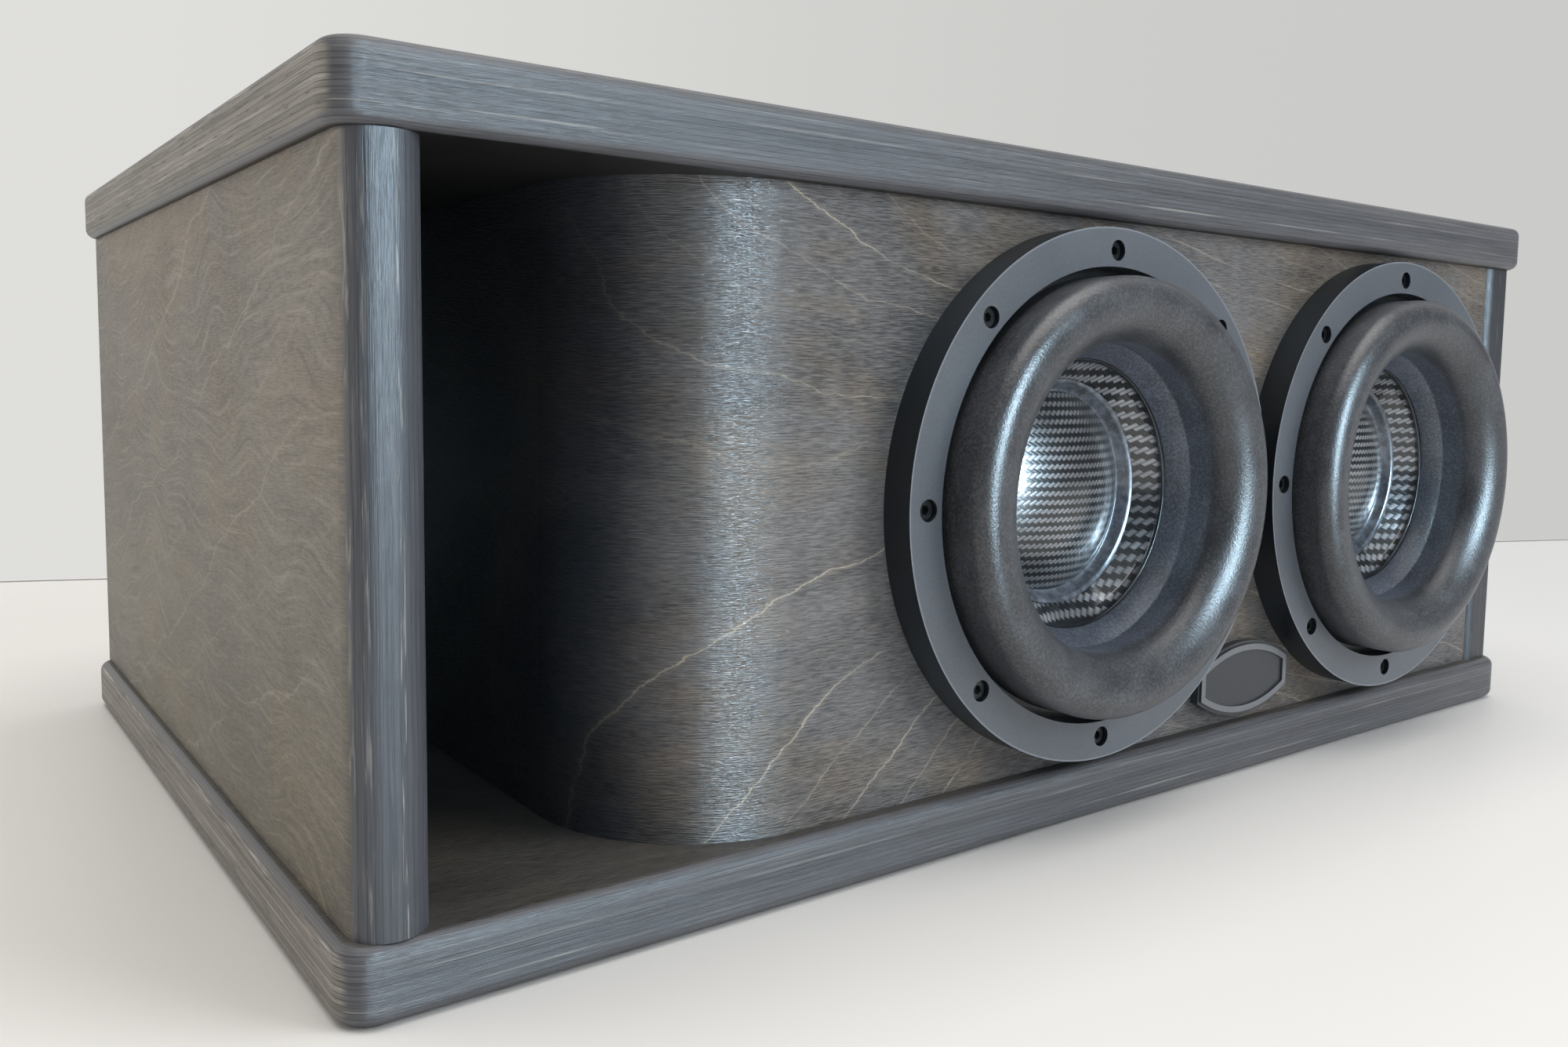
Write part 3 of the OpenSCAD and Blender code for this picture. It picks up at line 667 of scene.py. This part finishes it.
def eased(points, radius, steps=5):
    """The polyline with each inner corner rounded by a curve that starts radius from it."""
    out = [points[0]]
    for a, b, c in zip(points, points[1:], points[2:]):
        a, b, c = Vector(a), Vector(b), Vector(c)
        la, lc = (a - b).length, (c - b).length
        turn = (a - b).angle(c - b) if min(la, lc) > 1e-6 else math.pi
        if turn > math.radians(150):
            out.append(tuple(b))
            continue
        d = min(radius, la * 0.45, lc * 0.45)
        p, q = b + (a - b).normalized() * d, b + (c - b).normalized() * d
        for i in range(steps + 1):
            t = i / steps
            out.append(tuple(p * (1 - t) ** 2 + b * 2 * t * (1 - t) + q * t * t))
    out.append(points[-1])
    return out


def lathe(name, section, centre_x, centre_z, material, turns=192, closed=True):
    """A section of (radius, height) points turned about a driver's axis."""
    mesh = bpy.data.meshes.new(name)
    verts, faces, rows = [], [], []
    for r, h in section:
        if r < 1e-6:
            rows.append([len(verts)] * turns)
            verts.append((centre_x, FACE_Y - h * MM, centre_z))
            continue
        rows.append(list(range(len(verts), len(verts) + turns)))
        for k in range(turns):
            a = 2 * math.pi * k / turns
            verts.append(
                (
                    centre_x + r * MM * math.cos(a),
                    FACE_Y - h * MM,
                    centre_z + r * MM * math.sin(a),
                ),
            )
    count = len(rows)
    for i in range(count if closed else count - 1):
        one, two = rows[i], rows[(i + 1) % count]
        if one[0] == one[-1] and two[0] == two[-1]:
            continue
        for k in range(turns):
            m = (k + 1) % turns
            corners = []
            for v in (one[k], one[m], two[m], two[k]):
                if v not in corners:
                    corners.append(v)
            faces.append(corners)
    mesh.from_pydata(verts, [], faces)
    mesh.validate()
    bm = bmesh.new()
    bm.from_mesh(mesh)
    bmesh.ops.recalc_face_normals(bm, faces=bm.faces)
    bm.to_mesh(mesh)
    bm.free()
    mesh.shade_smooth()
    mesh.materials.append(material)
    obj = bpy.data.objects.new(name, mesh)
    bpy.context.scene.collection.objects.link(obj)
    return obj


def weigh(obj, value):
    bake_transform(obj)
    shares = np.array([value(v.co) for v in obj.data.vertices], np.float32)


def from_axis(p, centre):
    """Distance of a point from a driver's axis, in millimetres."""
    return math.hypot(p.x - centre.x, p.z - centre.z) / MM


def smooth(t):
    t = min(1.0, max(0.0, t))
    return t * t * (3 - 2 * t)


def surround_section():
    """Flange, tall half roll and the lip that lies on the cone, one foam thickness throughout."""
    out_r, in_r = ROLL_OUT - ROLL_CREST, ROLL_CREST - LIP_R
    skin = [(FLANGE, SEAT_HI), (ROLL_OUT, SEAT_HI)]
    skin += arc(ROLL_CREST, ROLL_H - out_r, out_r, 0, 90, 14)
    skin += arc(ROLL_CREST, ROLL_H - in_r, in_r, 90, 180, 22)[1:]
    skin += [(LIP_R, lip_face(LIP_R)), (LIP_IN, lip_face(LIP_IN))]
    under = [(LIP_IN, lip_face(LIP_IN) - FOAM), (LIP_R + FOAM, lip_face(LIP_R + FOAM) - FOAM)]
    under += arc(ROLL_CREST, ROLL_H - in_r, in_r - FOAM, 180, 90, 18)
    under += arc(ROLL_CREST, ROLL_H - out_r, out_r - FOAM, 90, 0, 10)[1:]
    under += [(ROLL_OUT - FOAM, SEAT_LO), (FLANGE, SEAT_LO)]
    return eased(skin, 0.5) + eased(under, 0.9)


def spider_section():
    """Corrugated web, with a foot at its rim where it is glued to the basket."""
    steps, line = 120, []
    for i in range(steps + 1):
        k = i / steps
        wave = WEB_WAVE * math.sin(k * 2 * WEB_RIDGES * math.pi) * math.sin(k * math.pi)
        line.append((WEB_IN + (WEB_OUT - WEB_IN) * k, WEB_H + wave))
    upper = [(r, h + WEB_THICK) for r, h in reversed(line)]
    return line + [(WEB_OUT, WEB_FOOT), (WEB_RIM, WEB_FOOT), (WEB_RIM, WEB_H + WEB_THICK)] + upper


def cone_section():
    """Cone from its neck to the roll, with the bead of glue that holds the foam lip."""
    drop = FOAM + GLUE_GAP

    def front(r, lift=0.0):
        return (r, lip_face(r) - drop + lift)

    face = [front(r) for r in (NECK, 30, 34, 38, 41, BEAD_R)]
    for a in (0.5, 1.0, 1.57, 2.1, 2.7):
        face.append(front(BEAD_R + BEAD_W * (1 - math.cos(a)), BEAD_H * math.sin(a)))
    face.append(front(LIP_R))
    return face + [front(r, -CONE_THICK) for r in (LIP_R, 38, NECK)]


def cap_section():
    """Domed cap with its foot turned out into a thick clear rim that lies on the cone."""
    drop = FOAM + GLUE_GAP
    foot = lip_face(CAP_R) - drop + FOAM
    ball = (CAP_R * CAP_R + CAP_RISE * CAP_RISE) / (2 * CAP_RISE)
    centre = foot + CAP_RISE - ball
    edge = math.degrees(math.asin((foot - centre) / ball))
    dome = [(0, centre + ball)] + arc(0, centre, ball, 90.0, edge, 34)[1:]
    rim = [
        (33.1, foot - 0.15),
        (34.0, foot + 0.75),
        (35.3, lip_face(35.3) - drop + 1.75),
        (CAP_FLANGE, lip_face(CAP_FLANGE) - drop + 0.9),
        (CAP_FLANGE, lip_face(CAP_FLANGE) - drop + 0.02),
    ]
    under = [(31.6, lip_face(31.6) - drop + 0.02), (31.6, foot)]
    inner = ball - CAP_THICK
    inside = arc(0, centre, inner, math.degrees(math.acos(31.4 / inner)), 90.0, 24)[:-1]
    return dome + eased([dome[-1]] + rim, 0.5, 3)[1:] + under + inside + [(0, centre + inner)]


def tube(name, path, radius, material, turns=18):
    """A plaited lead: a smooth curve through the path with three low strands wound round it."""
    points = []
    for i in range(len(path) - 1):
        p0, p1, p2 = path[max(0, i - 1)], path[i], path[i + 1]
        p3 = path[min(len(path) - 1, i + 2)]
        for step in range(12):
            t = step / 12
            turn = (2 * p0 - 5 * p1 + 4 * p2 - p3) * t**2
            points.append(
                0.5 * (2 * p1 + (p2 - p0) * t + turn + (3 * p1 - p0 - 3 * p2 + p3) * t**3)
            )
    points.append(path[-1])
    verts, faces, run = [], [], 0.0
    side = Vector((1, 0, 0))
    for i, p in enumerate(points):
        before, after = points[max(i - 1, 0)], points[min(i + 1, len(points) - 1)]
        tangent = (after - before).normalized()
        other = tangent.cross(side).normalized()
        run += (p - points[i - 1]).length if i else 0.0
        for k in range(turns):
            a = 2 * math.pi * k / turns
            r = radius * (0.93 + 0.07 * math.cos(3 * a - run * 1400))
            verts.append(p + side * (r * math.cos(a)) + other * (r * math.sin(a)))
    for i in range(len(points) - 1):
        for k in range(turns):
            m = (k + 1) % turns
            faces.append(
                [i * turns + k, i * turns + m, (i + 1) * turns + m, (i + 1) * turns + k]
            )
    faces.append(list(range(turns))[::-1])
    faces.append([(len(points) - 1) * turns + k for k in range(turns)])
    mesh = bpy.data.meshes.new(name)
    mesh.from_pydata([tuple(v) for v in verts], [], faces)
    mesh.shade_smooth()
    mesh.materials.append(material)
    obj = bpy.data.objects.new(name, mesh)
    bpy.context.scene.collection.objects.link(obj)
    return obj


def join_meshes(objs, name):
    """One mesh from several loose ones, so that a node of two leads stays one piece."""
    bm = bmesh.new()
    for obj in objs:
        bm.from_mesh(obj.data)
    mesh = bpy.data.meshes.new(name)
    bm.to_mesh(mesh)
    bm.free()
    mesh.materials.append(objs[0].data.materials[0])
    mesh.shade_smooth()
    out = bpy.data.objects.new(name, mesh)
    bpy.context.scene.collection.objects.link(out)
    for obj in objs:
        bpy.data.objects.remove(obj)
    return out


for side in SIDES:
    lo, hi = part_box(f"{side}_trim_ring")
    c = (lo + hi) / 2
    body = f"{side}_cone_assembly"
    paint(anodised(f"anodised_{side}", c, hi.x - c.x), f"{side}_trim_ring")
    paint(black_steel, f"{side}_mounting_screws")
    paint(former, f"{side}_voice_coil_former")
    paint(copper, f"{side}_voice_coil_winding")
    paint(cast, f"{side}_basket")
    paint(gasket, f"{side}_basket_gasket")
    paint(steel, f"{side}_top_plate", f"{side}_back_plate")
    paint(ferrite, f"{side}_magnet")
    paint(board, f"{side}_terminal_strip")

    roll = lathe(
        f"{side}_foam_surround", surround_section(), c.x, c.z, foam(f"foam_skin_{side}", c)
    )
    weigh(roll,
          lambda p, c=c: smooth((ROLL_STILL - from_axis(p, c)) / ROLL_SPAN))
    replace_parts(roll, f"{side}_surround")

    cloth = weave(f"spider_cloth_{side}", c, (0.2, 0.13, 0.045), (0.62, 0.47, 0.2))
    web = lathe(f"{side}_spider_web", spider_section(), c.x, c.z, cloth, 144)
    weigh(web,
          lambda p, c=c: smooth((WEB_STILL - from_axis(p, c)) / WEB_SPAN))
    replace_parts(web, f"{side}_spider")

    carbon = twill(
        f"carbon_{side}",
        c.x,
        c.z,
        width=0.00143,
        gloss=0.06,
        coat=1.0,
        light=(0.62, 0.64, 0.68),
        squeeze=0.85,
        plain=(0.04262, 0.0436, (0.012, 0.012, 0.014)),
    )
    shell = lathe(f"{side}_carbon_cone", cone_section(), c.x, c.z, carbon)
    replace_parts(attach(shell, body), f"{side}_cone")
    fine_twill = twill(
        f"carbon_fine_{side}",
        c.x,
        c.z,
        width=0.00100,
        gloss=0.14,
        coat=0.75,
        light=(0.46, 0.475, 0.5),
        squeeze=0.68,
        plain=(0.0327, 0.0371, (0.2, 0.23, 0.28)),
    )
    cap = lathe(f"{side}_carbon_cap", cap_section(), c.x, c.z, fine_twill, closed=False)
    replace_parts(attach(cap, body), f"{side}_dust_cap")

    def at(x, y, h, c=c):
        """A place beside the driver's axis, in millimetres, h in front of the baffle."""
        return Vector((c.x + x * MM, FACE_Y - h * MM, c.z + y * MM))

    start_h = lip_face(37) - FOAM - GLUE_GAP - CONE_THICK - LEAD_CLEAR
    leads = [
        tube(
            f"{side}_lead_{n}",
            [at(s, 36, start_h), at(s, 42, -16), at(s, 52, -20), at(s, 62, -30.8)],
            LEAD_R * MM,
            plait,
        )
        for n, s in enumerate((-9, 9))
    ]
    pair = join_meshes(leads, f"{side}_plaited_leads")
    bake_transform(pair)
    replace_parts(pair, f"{side}_tinsel_leads")

# A plain rimmed plate: its field is darker than its rim.
badge_y = lowest("badge_plate").y
g = Graph("badge_grey")
grain = g.noise(g.object, 1300.0, 3.0, 0.6)
field = g.ramp(g.split(g.object)[1], badge_y + 0.00015, badge_y + 0.00035)
bright = g.mix(grain, (0.13, 0.138, 0.15), (0.2, 0.21, 0.225))
g.set(
    Base_Color=g.mix(field, bright, g.mix(grain, (0.02, 0.022, 0.026), (0.05, 0.053, 0.06))),
    Roughness=0.36,
    Normal=g.bump(grain, 0.00004, 0.6),
)
paint(g.material, "badge_plate")
paint(black_plastic, "terminal_cup", "black_post_base", "black_post_cap", "black_speaker_wires")
paint(red_plastic, "red_post_base", "red_post_cap", "red_speaker_wires")
paint(gasket, "cup_gasket")
paint(black_steel, "cup_screws")
paint(
    gold,
    "post_nuts",
    "red_post_stud",
    "black_post_stud",
    "red_post_washer",
    "black_post_washer",
)
paint(tinned, "solder_lugs")


# ------------------------------------------------------------ floor and light
def slab(name, points, material):
    """A flat piece of the stage."""
    mesh = bpy.data.meshes.new(name)
    mesh.from_pydata(points, [], [list(range(len(points)))])
    obj = bpy.data.objects.new(name, mesh)
    bpy.context.scene.collection.objects.link(obj)
    mesh.materials.append(material)


# The wall's foot is the line y = FOOT_Y + FOOT_SLOPE * x. No wall stands there, so that the
# object is seen from behind too: past the line the floor glows in the wall's tone.
FOOT_Y, FOOT_SLOPE = 0.428, -0.392
FLOOR_HALF, FLOOR_Z, JOINT_WIDTH = 9, -0.0004, 0.0022
WALL_LEFT, WALL_RIGHT = (0.74, 0.735, 0.715), (0.6, 0.6, 0.585)

g = Graph("floor_gloss")
x, y, _ = g.split(g.object)
past = g.sub(y, g.add(g.mul(x, FOOT_SLOPE), FOOT_Y))
beyond = g.ramp(past, 0.0, 0.01, smooth=False)
# The tone turns with the direction from the middle of the floor, as the world's does.
away = g.split(g.vmath("NORMALIZE", g.join(x, y, 0.0)))
g.set(
    Base_Color=g.mix(
        beyond,
        g.mix(g.ramp(x, -0.1, 0.7), (0.76, 0.745, 0.725), (0.6, 0.6, 0.605)),
        (0.0, 0.0, 0.0),
    ),
    Roughness=0.42,
    Specular_IOR_Level=g.mixf(beyond, 0.16, 0.0),
    Emission_Color=g.mix(g.ramp(away[0], 0.1, 0.9), WALL_LEFT, WALL_RIGHT),
    Emission_Strength=beyond,
)
corners = ((-1, -1), (1, -1), (1, 1), (-1, 1))
slab("floor", [(i * FLOOR_HALF, j * FLOOR_HALF, FLOOR_Z) for i, j in corners], g.material)
g = Graph("joint_line")
g.set(Base_Color=(0.12, 0.09, 0.07), Roughness=0.8)
corners = ((-3, 0), (4, 0), (4, JOINT_WIDTH), (-3, JOINT_WIDTH))
slab("wall_foot", [(i, FOOT_Y + FOOT_SLOPE * i + dy, 0) for i, dy in corners], g.material)


def area(name, place, target, size, power, colour, kind="both"):
    """A rectangular lamp aimed at target, for both kinds of light or gloss or diffuse alone."""
    data = bpy.data.lights.new(name, "AREA")
    data.shape, data.size, data.size_y = "RECTANGLE", size[0], size[1]
    data.energy, data.color = power, colour
    obj = bpy.data.objects.new(name, data)
    bpy.context.scene.collection.objects.link(obj)
    obj.location = place
    obj.rotation_mode = "QUATERNION"
    obj.rotation_quaternion = (Vector(target) - Vector(place)).to_track_quat("-Z", "Y")
    obj.visible_diffuse, obj.visible_glossy = kind != "gloss", kind != "diffuse"


area(
    "window",
    (-0.17, -2.6, 0.85),
    (-0.05, -0.1, 0.1),
    (0.36, 1.7),
    185,
    (0.62, 0.84, 1.0),
    "gloss",
)
area(
    "room_side",
    (2.0, -2.2, 1.3),
    (0.0, -0.1, 0.1),
    (1.8, 1.5),
    66,
    (0.95, 0.98, 1.0),
    "diffuse",
)
area("lamp", (2.0, -2.2, 1.3), (0.0, -0.1, 0.1), (0.6, 0.8), 7, (1.0, 1.0, 1.0), "gloss")
area("left_wall", (-2.2, 1.4, 0.8), (-0.25, 0.0, 0.1), (1.6, 1.4), 15, (1.0, 0.93, 0.83))
area("ceiling", (-0.1, -0.25, 2.4), (-0.1, -0.2, 0), (2.4, 1.8), 44, (1.0, 0.98, 0.96))

world = bpy.data.worlds.new("studio")
bpy.context.scene.world = world
world.use_nodes = True
tree = world.node_tree
g = Nodes(tree)
coords = tree.nodes.new("ShaderNodeTexCoord")
dx, dy, dz = g.split(coords.outputs["Generated"])
level = g.math("MAXIMUM", g.math("SQRT", g.add(g.mul(dx, dx), g.mul(dy, dy))), 0.001)
dx, dy = g.math("DIVIDE", dx, level), g.math("DIVIDE", dy, level)
pale = g.mix(g.ramp(dx, 0.1, 0.9), WALL_LEFT, WALL_RIGHT)
# What lights the object: the pale wall behind it, a dim room in front, a ceiling above.
wall = g.mix(g.ramp(dx, -0.2, -0.8), pale, (0.6, 0.55, 0.48))
room = g.mix(g.ramp(dy, 0.2, -0.35), wall, (0.1, 0.108, 0.125))
room = g.mix(g.ramp(dz, 0.5, 0.85), room, (0.5, 0.5, 0.49))
# What is seen behind it, from any side: the pale wall.
seen = tree.nodes.new("ShaderNodeLightPath").outputs["Is Camera Ray"]
room = g.mix(seen, room, pale)
back = tree.nodes["Background"]
tree.links.new(room, back.inputs[0])
back.inputs[1].default_value = 1.0
bpy.context.scene.view_settings.view_transform = "Standard"
